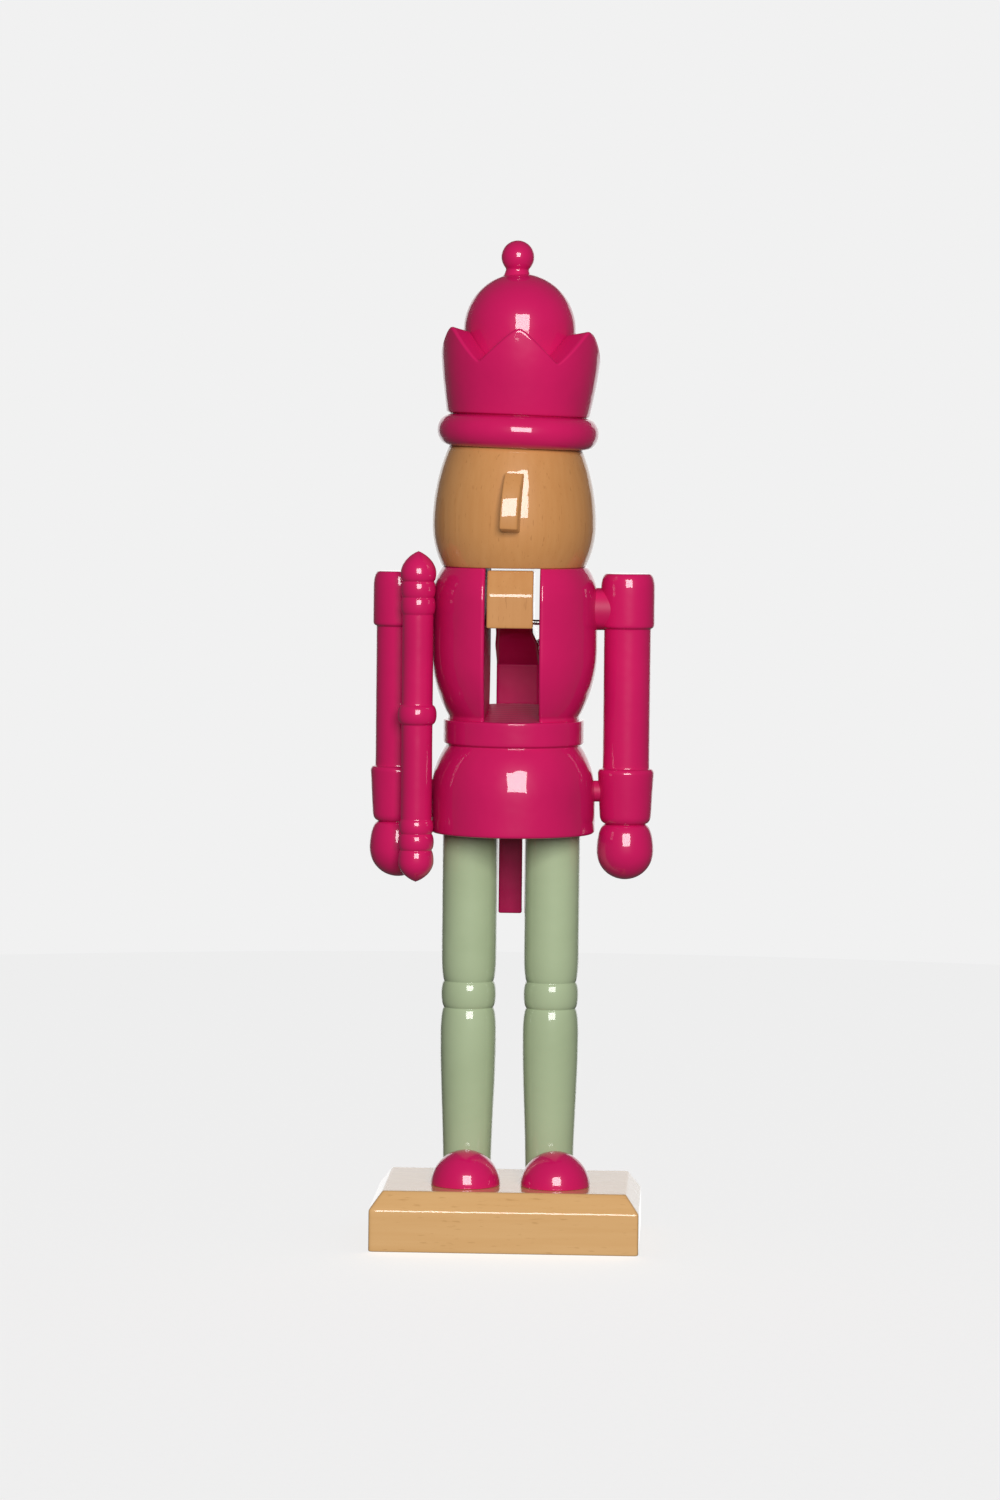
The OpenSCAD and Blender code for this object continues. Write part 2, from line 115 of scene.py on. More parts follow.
def ellipse(cx, cz, rx, rz, a0, a1):
    """Points at angles a0 to a1 round an ellipse: centre plus (rx cos a, rz sin a)."""
    a = np.radians(np.linspace(a0, a1, STEPS))
    return np.stack([cx + rx * np.cos(a), cz + rz * np.sin(a)], 1)


def bead(z0, z1, end, middle):
    """Half an ellipse between two heights: radius runs from end out to middle and back."""
    return ellipse(end, (z0 + z1) / 2, middle - end, (z1 - z0) / 2, -90, 90)


def swell(z0, r0, z1, r1):
    """Quarter ellipse that leaves a groove (z0, r0) sideways and ends upright at (z1, r1)."""
    t = np.radians(np.linspace(0, 90, STEPS))
    return np.stack([r0 + (r1 - r0) * np.sin(t), z0 + (z1 - z0) * (1 - np.cos(t))], 1)


def shrink(z0, r0, z1, r1):
    """The same quarter ellipse from full radius (z0, r0) up into the groove (z1, r1)."""
    return swell(z1, r1, z0, r0)[::-1]


def taper(z0, r0, z1, r1):
    """Smooth change of radius, upright at both ends: half a wave of a cosine."""
    t = np.linspace(0, 1, STEPS)
    return np.stack([r0 + (r1 - r0) * (1 - np.cos(pi * t)) / 2, z0 + (z1 - z0) * t], 1)


def belly(r_max, z_max, bend, z0, z1):
    """Arc of radius bend whose widest place is r_max at height z_max, between two heights."""
    z = np.linspace(z0, z1, STEPS)
    return np.stack([r_max - bend + np.sqrt(bend ** 2 - (z - z_max) ** 2), z], 1)


# %% [markdown]
# Thick gloss paint and varnish round off every corner and fill every groove a little.
# The outline is therefore smoothed along its own length, by a bell-shaped average a few tenths
# of a millimetre wide. Afterwards the points are spread so that a bend gets many and a
# straight stretch gets few.

# %% Soften an outline as paint does, and spread its points
FINE = 0.1                                   # mm between the points that are averaged
LONGEST = 2.0                                # mm between rings on a straight stretch
TURN = radians(7)                            # turn between rings on a bend


def along(line, s_new, s=None):
    """Points at distances s_new along a line of points."""
    if s is None:
        s = np.concatenate([[0], np.cumsum(np.linalg.norm(np.diff(line, axis=0), axis=1))])
    return np.stack([np.interp(s_new, s, line[:, k]) for k in range(line.shape[1])], 1)


def length_of(line):
    return float(np.linalg.norm(np.diff(line, axis=0), axis=1).sum())


def average(line, width, closed):
    """Bell-shaped average along the line; an open line is first carried on past both ends,
    turned half round, so that its ends stay where they are and a pole stays smooth."""
    reach = int(3 * width / FINE) + 1
    if closed:
        wide = np.concatenate([line[-reach:], line, line[:reach]])
    else:
        wide = np.concatenate([2 * line[0] - line[reach:0:-1], line,
                               2 * line[-1] - line[-2:-reach - 2:-1]])
    bell = np.exp(-0.5 * (np.arange(-reach, reach + 1) * FINE / width) ** 2)
    bell /= bell.sum()
    return np.stack([np.convolve(wide[:, k], bell, "valid") for k in range(2)], 1)


def soften(outline, width, closed=False):
    """Outline smoothed over width mm, with its points spread by length and by bend."""
    if closed:
        outline = np.concatenate([outline, outline[:1]])
    count = int(length_of(outline) / FINE) + 1
    fine = along(outline, np.linspace(0, length_of(outline), count))
    if closed:
        fine = fine[:-1]
    fine = average(fine, width, closed)
    if closed:
        fine = np.concatenate([fine, fine[:1]])
    step = np.diff(fine, axis=0)
    heading = np.unwrap(np.arctan2(step[:, 1], step[:, 0]))
    turn = np.abs(np.diff(heading, append=heading[-1]))
    effort = np.concatenate([[0], np.cumsum(np.linalg.norm(step, axis=1) / LONGEST + turn / TURN)])
    spread = along(fine, np.linspace(0, effort[-1], ceil(effort[-1]) + 1), effort)
    return spread[:-1] if closed else spread


# %% [markdown]
# A surface is a grid of points: rows go along the outline and columns go round. Each square of
# the grid becomes a face, and each end is closed with one face or with a point on the axis.

# %% Turn a grid of points into a mesh object
PIECES = []


def make_object(name, points, faces, body, slot, *nodes):
    """Mesh object with its points in place, riding on a body and standing for CAD nodes."""
    mesh = bpy.data.meshes.new(name)
    mesh.from_pydata((np.asarray(points) * MM).tolist(), [], faces)
    mesh.polygons.foreach_set("use_smooth", np.ones(len(mesh.polygons), bool))
    mesh.validate()
    obj = bpy.data.objects.new(name, mesh)
    bpy.context.scene.collection.objects.link(obj)
    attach(obj, body)
    if nodes:
        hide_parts(*nodes)
    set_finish(obj, slot)
    PIECES.append(obj)
    print(f"{name}: {len(mesh.vertices)} points, {len(mesh.polygons)} faces")
    return obj


def grid_faces(rows, columns, first=0):
    """Squares between neighbouring rows, the columns joined into a ring, facing outwards."""
    r, c = np.meshgrid(np.arange(rows - 1), np.arange(columns), indexing="ij")
    n = (c + 1) % columns
    quads = np.stack([r * columns + c, r * columns + n, (r + 1) * columns + n, (r + 1) * columns + c], -1)
    return (quads.reshape(-1, 4) + first).tolist()


def closed_skin(rings, first=0):
    """Points and faces of stacked rings (rows, columns, 3), with one flat face at each end."""
    rows, columns = rings.shape[:2]
    low = list(range(first, first + columns))[::-1]
    high = list(range(first + (rows - 1) * columns, first + rows * columns))
    return rings.reshape(-1, 3), grid_faces(rows, columns, first) + [low, high]


def pole_skin(rings, first=0):
    """The same, where the first and last ring shrink to a point on the axis: fans close them."""
    rows, columns = rings.shape[:2]
    body = rings[1:-1]
    n = (rows - 2) * columns
    points = np.concatenate([body.reshape(-1, 3), rings[:1, 0], rings[-1:, 0]])
    c = np.arange(columns)
    d = (c + 1) % columns
    top = (rows - 3) * columns
    low = np.stack([d, c, np.full(columns, n)], 1) + first
    high = np.stack([top + c, top + d, np.full(columns, n + 1)], 1) + first
    return points, grid_faces(rows - 2, columns, first) + low.tolist() + high.tolist()


# %% [markdown]
# Turned pieces: the outline is closed to the axis at both ends, softened, and swept round.
# The first and the last ring shrink to a single point on the axis.

# %% Sweep an outline round an axis
COLUMNS = 128


def sweep(outline, columns=COLUMNS):
    """Rings of a turned solid about the Z axis: (r cos a, r sin a, z)."""
    a = np.arange(columns) * 2 * pi / columns
    r, z = outline[:, :1], outline[:, 1:]
    return np.stack([r * np.cos(a), r * np.sin(a), z + 0 * a], -1)


def to_axis(*parts):
    """Outline from its parts, with its two ends carried in to the axis."""
    line = np.concatenate(parts)
    ends = [pts((0, line[0, 1])), pts((0, line[-1, 1]))]
    return np.concatenate([ends[0], line, ends[1]])


def turned(name, outline, place, body, slot, *nodes, soft=0.35, columns=COLUMNS):
    """Turned piece with its outline softened; place moves it from the Z axis to its own."""
    line = soften(outline, soft)
    line[[0, -1], 0] = 0
    points, faces = pole_skin(sweep(line, columns))
    return make_object(name, moved(points, place), faces, body, slot, *nodes)


def moved(points, place):
    """Points carried by a 4 by 4 matrix."""
    m = np.array(place)
    return points @ m[:3, :3].T + m[:3, 3]


def at(x=0, y=0, z=0):
    """Place beside the figure's axis, in millimetres."""
    return Matrix.Translation((x, AXIS_Y + y, z))


# %% [markdown]
# Flat pieces, such as the jaw and the lever, are sawn from a board: one side view, with the
# same outline right across the width. The edges are rounded by drawing the outline in a little
# over the last half millimetre on each side, as a quarter circle.

# %% Carry a side view across a width
ROUND_RINGS = 10                             # rings round the two edges together
FLAT_RINGS = 9                               # rings across the flat between them


def outward(outline):
    """Unit normals of a closed outline that runs anticlockwise, pointing out of it."""
    step = np.roll(outline, -1, 0) - np.roll(outline, 1, 0)
    step /= np.linalg.norm(step, axis=1, keepdims=True)
    return np.stack([step[:, 1], -step[:, 0]], 1)


def slab(name, outline, limits, place, body, slot, *nodes, soft=0.5, edge=0.6, sanded=(0, 0, 0)):
    """Side view (y, z) carried across x; limits(z) gives the low and the high x at a height.
    At angle v round the edge the outline is drawn in by edge * (1 - cos v). A front that was
    sanded by hand lies back by sanded[0] + sanded[1] * s + sanded[2] * s ^ 2, where s is x over
    half the width."""
    side = soften(outline, soft, closed=True)
    normal = outward(side)
    v = np.radians(np.linspace(-90, 90, ROUND_RINGS))
    inset = edge * (1 - np.cos(v))
    ring = side[None] - inset[:, None, None] * normal[None]
    low, high = limits(ring[..., 1])
    shift = edge * np.sin(v)[:, None]
    x = np.where(v[:, None] < 0, low + edge + shift, high - edge + shift)
    middle = len(v) // 2
    part = np.linspace(0.05, 0.95, FLAT_RINGS)[:, None]
    spans = [x[:middle], x[middle - 1] + (x[middle] - x[middle - 1]) * part, x[middle:]]
    rows = [ring[:middle], np.repeat(ring[middle - 1:middle], FLAT_RINGS, 0), ring[middle:]]
    x, ring = np.concatenate(spans), np.concatenate(rows)
    s = x[..., None] / x.max()
    y = ring[..., :1] + sanded[0] + sanded[1] * s + sanded[2] * s ** 2
    points, faces = closed_skin(np.concatenate([x[..., None], y, ring[..., 1:]], -1))
    return make_object(name, moved(points, place), faces, body, slot, *nodes)


def straight(width, centre=0):
    """Limits of a piece with parallel sides."""
    return lambda z: (centre - width / 2 + 0 * z, centre + width / 2 + 0 * z)


# %% [markdown]
# The block: a rectangle with a bevel round its top. Its outline is carried round the rectangle,
# drawn in by the profile's own inset at each height, so that the corners are mitred.

# %% Base block
ARRIS = 0.45                                 # mm over which sanding has rounded the edges
BEVEL, BEVEL_H = 5.0, 6.8
RIM_SOFT = 1.0                               # rounding of the upright corners
INSIDE = 14                                  # how far in the flat top's last ring lies


def make_base():
    """Rings: the rectangle shrunk by inset(v) on every side, at height z(v)."""
    low, high = span("base_block")
    half = (high - low)[:2] / 2
    corner = np.array([(-1, -1), (1, -1), (1, 1), (-1, 1)]) * half
    rim = soften(corner, RIM_SOFT, closed=True)
    top = high[2]
    profile = soften(pts((INSIDE - BEVEL, 0), (0, 0), (0, top - BEVEL_H), (BEVEL, top), (INSIDE, top)),
                     ARRIS)
    rings = rim[None] * (1 - profile[:, :1, None] / half)
    z = np.broadcast_to(profile[:, 1:, None], rings.shape[:2] + (1,))
    points, faces = closed_skin(np.concatenate([rings, z], -1))
    return make_object("base_block.wood", points, faces, "figure", "varnished_wood", "base_block")


BLOCK_TOP = span("base_block")[1][2]
base = make_base()

# %% [markdown]
# Each leg is turned with a bead for the knee between two grooves. It swells a little to the
# calf and narrows to the ankle. The tenons at both ends are hidden in the block and the skirt.

# %% Legs
HEM_Z = span("coat_body")[0][2]
THIGH_R, THIGH_Z = 10.5, 108
CALF_R, CALF_Z, ANKLE_R = 10.7, 78.5, 9.2
KNEE_Z0, KNEE_Z1, GROOVE_R = 88.4, 98.4, 9.3
TENON_R, IN_BLOCK, IN_SKIRT = 5, 3, 4
LEG = to_axis(
    pts((TENON_R, BLOCK_TOP - IN_BLOCK), (ANKLE_R, BLOCK_TOP - IN_BLOCK)),
    taper(BLOCK_TOP, ANKLE_R, CALF_Z, CALF_R),
    shrink(CALF_Z, CALF_R, KNEE_Z0, GROOVE_R),
    bead(KNEE_Z0, KNEE_Z1, GROOVE_R, THIGH_R),
    swell(KNEE_Z1, GROOVE_R, THIGH_Z, THIGH_R),
    pts((THIGH_R, HEM_Z + IN_SKIRT), (TENON_R, HEM_Z + IN_SKIRT)))
legs = [turned(f"{side}_leg.turned", LEG, at(sign * LEG_X), "figure", "sage_paint", f"{side}_leg")
        for side, sign in (("left", 1), ("right", -1))]

# %% [markdown]
# A shoe is half a wooden ball, glued flat on the block, with its back sawn off against the leg.
# The half ball is swept like any turned piece, and then every point behind the saw cut is
# brought forwards onto it.

# %% Shoes
SHOE_R = 13.2
SHOE_FORWARD, SHOE_OUT, SHOE_SHIFT, SAW_CUT = 16.7, 1.3, 1.6, 8.0


def make_shoe(side, sign):
    """Half ball in front of a leg; y is cut off at the saw cut."""
    line = soften(np.concatenate([pts((0, 0)), ellipse(0, 0, SHOE_R, SHOE_R, 0, 90)]), 0.3)
    line[[0, -1], 0] = 0
    points, faces = pole_skin(sweep(line))
    points = moved(points, at(sign * (LEG_X + SHOE_OUT) + SHOE_SHIFT, -SHOE_FORWARD, BLOCK_TOP))
    points[:, 1] = np.minimum(points[:, 1], AXIS_Y - SAW_CUT)
    return make_object(f"{side}_shoe.half_ball", points, faces, "figure", "raspberry_paint", f"{side}_shoe")


shoes = [make_shoe("left", 1), make_shoe("right", -1)]

# %% [markdown]
# The coat is turned from one block. Up to the top of the belt it is a plain turned shape. Above
# that, the slot for the lever leaves two cheeks, one on each side. Seen from above, a cheek is
# a circle's segment: an arc outside and a straight saw cut inside, with both corners rounded.
# Each ring of a cheek is that segment for the chest's radius at that height.

# %% Coat
COAT_SHIFT = 0.4                             # the coat sits a little to one side of the axis
SKIRT_R, BELT_R, WAIST_R, CHEST_R = 31.4, 26.8, 25.0, 31.6
HIP_Z, HIP_BEND, HEM_ROUND = 170, 33, 0.6
BELT_Z0, BELT_Z1, CHEST_TOP = 189.6, 198.5, 256.5
WAIST_Z, BUST_Z, BUST_BEND = 201.4, 225, 51.5
SHOULDER_START, SHOULDER_BEND = 244, 21.1
SLOT_HALF, SLOT_RISE = 10.25, 4.5
CORNER = 1.0                                 # mm of rounding on the slot's upright edges


def cheek_rings(profile):
    """Rings of one cheek. The rounding circle's centre lies CORNER inside both the arc and the
    saw cut, and they join at its ends."""
    r = profile[:, :1]
    cx = SLOT_HALF + CORNER
    cy = np.sqrt((r - CORNER) ** 2 - cx ** 2)
    end = np.arctan2(cy, cx)
    t = np.linspace(-1, 1, 81)[None]
    outer = np.stack([r * np.cos(end * t), r * np.sin(end * t)], -1)
    s = np.linspace(0, 1, 9)[None, 1:-1]
    a = end + (pi - end) * s
    back = np.stack([cx + CORNER * np.cos(a), cy + CORNER * np.sin(a)], -1)
    y = cy * np.linspace(1, -1, 25)[None]
    cut = np.stack([SLOT_HALF + 0 * y, y], -1)
    front = (back * (1, -1))[:, ::-1]
    ring = np.concatenate([outer, back, cut, front], 1)
    z = np.broadcast_to(profile[:, 1:, None], ring.shape[:2] + (1,))
    return np.concatenate([ring, z], -1)


def make_coat():
    """Skirt and belt with the slot's floor, and two cheeks that stand on them."""
    skirt = soften(to_axis(
        pts((SKIRT_R - HEM_ROUND, HEM_Z), (SKIRT_R, HEM_Z + HEM_ROUND)),
        belly(SKIRT_R, HIP_Z, HIP_BEND, HIP_Z, BELT_Z0 - HEM_ROUND),
        pts((BELT_R, BELT_Z0), (BELT_R, BELT_Z1))), 0.4)
    skirt[[0, -1], 0] = 0
    points, faces = pole_skin(sweep(skirt))
    # the slot's floor rises a little towards the back
    floor = (points[:, 2] > BELT_Z1 - 0.05) & (np.abs(points[:, 0]) < SLOT_HALF + 1)
    points[floor, 2] += SLOT_RISE * (points[floor, 1] + BELT_R) / (2 * BELT_R)
    chest = soften(np.concatenate([
        pts((WAIST_R, BELT_Z1 - 1), (WAIST_R, BELT_Z1 + 1.5)),
        belly(CHEST_R, BUST_Z, BUST_BEND, WAIST_Z, BUST_Z),
        belly(CHEST_R, SHOULDER_START, SHOULDER_BEND, SHOULDER_START, CHEST_TOP),
        pts((22, CHEST_TOP))]), 0.4)
    cheek = cheek_rings(chest)
    for turn in (1, -1):
        more, skin = closed_skin(cheek * (turn, turn, 1), len(points))
        points, faces = np.concatenate([points, more]), faces + skin
    return make_object("coat_body.turned", moved(points, at(COAT_SHIFT)), faces, "figure",
                       "raspberry_paint", "coat_body")


coat = make_coat()
centre = np.zeros(3 * len(coat.data.polygons))
coat.data.polygons.foreach_get("center", centre)
centre = centre.reshape(-1, 3) / MM
side = np.abs(centre[:, 0] - COAT_SHIFT)
cheek = (side > SLOT_HALF - 0.2) & (side < SLOT_HALF + 0.2) & (centre[:, 2] > BELT_Z1 + 0.2)
floor_cut = (side < SLOT_HALF) & (centre[:, 2] > BELT_Z1 - 0.1)
in_slot = cheek | floor_cut
print(int(in_slot.sum()), "faces on the saw cuts of the slot")

# %% [markdown]
# The head is a turned ball, fullest just above the chest, with its top planed to the hat's lean.
# The nose is a small block with a rounded front, let into the face a little askew.

# %% Head and nose
HEAD_R, HEAD_SHIFT, HEAD_TOP = 31.1, -0.2, 301.4
CHEEK_Z, JOWL_BEND, BROW_BEND = 272.5, 35.5, 76
HAT_SHIFT, HAT_LEAN = 0.7, 1.6
hat_place = at(HAT_SHIFT, 0, HEAD_TOP) @ Matrix.Rotation(radians(HAT_LEAN), 4, "Y")


def make_head():
    """Two arcs that meet at the cheeks; the top is cut by z = HEAD_TOP - x tan(HAT_LEAN)."""
    line = soften(to_axis(belly(HEAD_R, CHEEK_Z, JOWL_BEND, CHEST_TOP, CHEEK_Z),
                          belly(HEAD_R, CHEEK_Z, BROW_BEND, CHEEK_Z, HEAD_TOP + 2)), 0.4)
    line[[0, -1], 0] = 0
    points, faces = pole_skin(sweep(line))
    points = moved(points, at(HEAD_SHIFT))
    plane = HEAD_TOP - (points[:, 0] - HAT_SHIFT) * tan(radians(HAT_LEAN))
    points[:, 2] = np.minimum(points[:, 2], plane)
    return make_object("head.turned", points, faces, "figure", "varnished_wood", "head")


head = make_head()
NOSE_W, NOSE_H, NOSE_Z, NOSE_X = 6.8, 23.3, 280.55, 0.3
NOSE_DEEP, NOSE_BEND, NOSE_TOP, NOSE_LOW = 6.5, 27.0, 38, 8
NOSE_LEAN, NOSE_TURN, NOSE_BACK = 2.6, -7.7, -26
NOSE_MID = NOSE_H / 2 - 0.5 - NOSE_BEND * sin(radians(NOSE_TOP))
nose_place = (at(HEAD_SHIFT + NOSE_X, 0, NOSE_Z) @ Matrix.Rotation(radians(NOSE_LEAN), 4, "Y")
              @ Matrix.Translation((0, -HEAD_R, 0)) @ Matrix.Rotation(radians(NOSE_TURN), 4, "Z")
              @ Matrix.Translation((0, HEAD_R, 0)))
nose_front = ellipse(NOSE_BEND - HEAD_R - NOSE_DEEP, NOSE_MID, NOSE_BEND, NOSE_BEND,
                     180 - NOSE_TOP, 180 + NOSE_LOW)
nose_side = np.concatenate([
    pts((NOSE_BACK, -NOSE_H / 2), (NOSE_BACK, NOSE_H / 2), (nose_front[0, 0], NOSE_H / 2)), nose_front])
nose = slab("nose.block", nose_side, straight(NOSE_W), nose_place, "figure", "varnished_wood", "nose",
            soft=0.4, edge=0.7, sanded=(0.45, 0.8, 0.25))

# %% [markdown]
# The crown's brim and cup are turned, and then V notches are sawn between the points. A saw cut
# that falls from the middle outwards leaves a plane on each side of a notch, so the height of
# the cup's edge is one formula in the radius and in the angle from the notch. The section
# through the wall is drawn up to that height at every angle, over the edge, and down the bore.

# %% Crown
BRIM_R, BRIM_IN, BRIM_H = 30.7, 25.5, 12.2
CUP_R, CUP_FOOT, CUP_WIDE = 30.4, 12.8, 41.0
TEETH, TIP_R = 6, 29.9
NOTCH_AXIS, NOTCH_Z, TIP_Z = 38.6, 31.5, 46.2
DOME_R, DOME_Z, DOME_FLOOR, DOME_SHIFT = 21.3, 44.7, 28.0, -0.8
HALF = pi / TEETH                            # angle from a notch to the next point
VALLEY, POINT = radians(1.6), radians(3.0)   # easing at a notch and at a point
LIP, BORE_LIP = 1.0, 0.8                     # rounding of the outer and the inner edge
FOOT_R = CUP_R - 3.2
FALL = (NOTCH_AXIS - NOTCH_Z) / TIP_R        # fall of a notch's lowest line per mm outwards
RISE = (TIP_Z - NOTCH_AXIS + FALL * TIP_R * cos(HALF)) / (TIP_R * sin(HALF))


def edge_height(r, angle):
    """Height of the cup's edge: notch axis - FALL * r cos(p) + RISE * r sin(p), where p is the
    angle from the nearest notch, eased over a few degrees at the notch and at the point."""
    p = np.abs((angle + pi / 2) % (2 * HALF) - HALF)
    t = p / HALF
    near = np.sqrt(p ** 2 + VALLEY ** 2) - VALLEY * t
    far = HALF - np.sqrt((HALF - p) ** 2 + POINT ** 2) + POINT * (1 - t)
    p = (1 - t) * near + t * far
    return NOTCH_AXIS - FALL * r * np.cos(p) + RISE * r * np.sin(p)


def curve(p0, p1, p2, count):
    """Points round a corner p1 from p0 to p2: (1-t)^2 p0 + 2t(1-t) p1 + t^2 p2."""
    t = np.linspace(0, 1, count)[:, None]
    return [(1 - t) ** 2 * a + 2 * t * (1 - t) * b + t ** 2 * c for a, b, c in zip(p0, p1, p2)]


def make_crown():
    """The section is built as pairs of radius and height, each a table of rows by columns: brim,
    wall, over the edge, across the top, into the bore, and down to the bore's floor."""
    columns = 60 * TEETH
    angle = (np.arange(columns) * 2 * pi / columns)[None]
    low = soften(np.concatenate([pts((0, 0), (BRIM_IN, 0)), bead(0, BRIM_H, BRIM_IN, BRIM_R),
                                 pts((FOOT_R, CUP_FOOT), (FOOT_R + 1.5, CUP_FOOT + 9))]), 0.35)
    low = low[low[:, 1] < CUP_FOOT + 2]
    start = low[-1, 1]

    def wall(z):
        """Radius of the cup's side: a quarter sine wave from the brim to the full radius."""
        rise = np.clip((z - start) / (CUP_WIDE - start), 0, 1)
        return CUP_R + (low[-1, 0] - CUP_R) * (1 - np.sin(pi / 2 * rise))

    rim = CUP_R - 0.3 + 0 * angle
    top = edge_height(rim, angle)
    rim = np.minimum(rim, wall(top))
    top = edge_height(rim, angle)
    t = np.append(np.linspace(0, 0.98, 16)[1:], 1)[:, None]
    up_z = start + (top - LIP - start) * t
    up = (wall(up_z), up_z)
    over = curve((wall(top - LIP), top - LIP), (rim, top), (rim - LIP, edge_height(rim - LIP, angle)), 12)
    t = np.linspace(0, 1, 8)[1:, None]
    bore = DOME_R + 0 * angle
    mouth = edge_height(bore, angle)
    flat_r = (rim - LIP) * (1 - t) + (bore + BORE_LIP) * t
    flat = (flat_r, edge_height(flat_r, angle))
    fold = curve((bore + BORE_LIP, edge_height(bore + BORE_LIP, angle)), (bore, mouth),
                 (bore, mouth - BORE_LIP), 8)
    t = np.linspace(0, 1, 6)[1:, None]
    down_z = (mouth - BORE_LIP) * (1 - t) + DOME_FLOOR * t
    down = (bore + 0 * down_z, down_z)
    low_r, low_z = low[:, :1] + 0 * angle, low[:, 1:] + 0 * angle
    end = (0 * angle, DOME_FLOOR + 0 * angle)
    r = np.concatenate([low_r, up[0], over[0][1:], flat[0], fold[0][1:], down[0], end[0]])
    z = np.concatenate([low_z, up[1], over[1][1:], flat[1], fold[1][1:], down[1], end[1]])
    # the bore follows the dome, which sits a little off the middle
    inwards = np.clip((CUP_R - LIP - r) / (CUP_R - LIP - DOME_R), 0, 1) * (z > CUP_FOOT)
    rings = np.stack([r * np.cos(angle) + DOME_SHIFT * inwards, r * np.sin(angle), z], -1)
    points, faces = pole_skin(rings)
    return make_object("crown.turned", moved(points, hat_place), faces, "figure",
                       "raspberry_paint", "crown")


crown = make_crown()

# %% [markdown]
# Inside the crown sits a separate dome, and on it a ball on a short neck. Neither is quite in
# the middle. Where the neck meets the dome, paint has filled the corner with a small curve.

# %% Dome and ball
dome_place = hat_place @ Matrix.Translation((DOME_SHIFT, 0, 0))
PLUG_R = DOME_R - 0.05                       # the dome's own radius, with room for glue
dome = turned("dome.turned", to_axis(pts((PLUG_R, DOME_FLOOR), (PLUG_R, DOME_Z)),
                                     ellipse(0, DOME_Z, PLUG_R, DOME_R, 1, 90)),
              dome_place, "figure", "raspberry_paint", "dome")
BALL_R, BALL_Z, BALL_SHIFT, NECK_R = 6.3, 72.0, -1.8, 4.4
NECK = [(4, 62.3), (6.2, 64.0), (5.0, 65.2), (NECK_R, 67.0)]
neck_angle = np.degrees(np.arccos(NECK_R / BALL_R))
finial = turned("finial.turned",
                to_axis(pts(*NECK), ellipse(0, BALL_Z, BALL_R, BALL_R, -neck_angle, 90)),
                dome_place @ Matrix.Translation((BALL_SHIFT, 0, 0)), "figure", "raspberry_paint", "finial",
                soft=0.3, columns=64)

# %% [markdown]
# The jaw is a block of bare varnished wood. It is joined to the lever, which slopes down and
# back through the slot and then hangs behind the skirt as a handle. Both ride on the moving
# body, which turns on the steel pin.

# %% Jaw, lever and pin
JAW_W, JAW_X = 17.4, -0.4
JAW_BACK, JAW_EDGE, JAW_FRONT = -7, -25.8, -30.3
JAW_LOW, JAW_BEVEL, JAW_TOP = 234.2, 246.9, 255.8
jaw_side = pts((JAW_BACK, JAW_LOW), (JAW_BACK, JAW_TOP), (JAW_EDGE, JAW_TOP), (JAW_FRONT, JAW_BEVEL),
               (JAW_FRONT, JAW_LOW))
jaw = slab("jaw.block", jaw_side, straight(JAW_W, JAW_X), at(), "jaw_lever", "varnished_wood", "jaw",
           soft=0.5, edge=0.8)
# heights at which the lever's sides change direction, and the low and high x there
LEVER_Z = [166.8, 194.8, 226, 231]
LEVER_LOW = [-6.05, -7.7, -7.7, -7.0]
LEVER_HIGH = [3.05, 9.0, 9.0, 7.1]


def lever_limits(z):
    """Low and high x at each height, on straight lines between the drawing's corners."""
    return np.interp(z, LEVER_Z, LEVER_LOW), np.interp(z, LEVER_Z, LEVER_HIGH)


HANDLE_FRONT, HANDLE_BACK, HANDLE_LOW = 32.2, 40.7, 121.0
ARM_LOW, ARM_TOP = 233.2, 251.5              # the lever's arm, where it meets the jaw
BEND_FRONT, BEND_BACK = 217.8, 228           # heights at which the arm turns down into the handle
lever_side = pts((JAW_BACK, ARM_TOP), (JAW_BACK, ARM_LOW), (2, ARM_LOW), (HANDLE_FRONT, BEND_FRONT),
                 (HANDLE_FRONT, HANDLE_LOW), (HANDLE_BACK, HANDLE_LOW), (HANDLE_BACK, BEND_BACK),
                 (-4.5, ARM_TOP))
lever = slab("lever.sawn", lever_side, lever_limits, at(), "jaw_lever", "raspberry_paint", "lever",
             soft=0.5, edge=0.8)
PIN_HALF, PIN_R, PIN_END = 30.5, 1.0, 0.2


def along_x(x, y, z, sign=1):
    """Place that lays the Z axis along X, or along -X."""
    return at(x, y, z) @ Matrix.Rotation(radians(90 * sign), 4, "Y")


PIN = to_axis(pts((PIN_R - PIN_END, 0), (PIN_R, PIN_END), (PIN_R, 2 * PIN_HALF - PIN_END),
                  (PIN_R - PIN_END, 2 * PIN_HALF)))
pin = turned("pivot_pin.wire", PIN,
             along_x(-PIN_HALF, PIVOT[1] - AXIS_Y, PIVOT[2]), "figure", "steel_pin", "pivot_pin",
             soft=0.1, columns=32)

# %% [markdown]
# Each arm is one turned piece: the hand's ball, a wrist groove, the cuff, the arm and the
# shoulder cap. A peg with a thick collar holds it at the shoulder, and a dab of glue at the cuff.

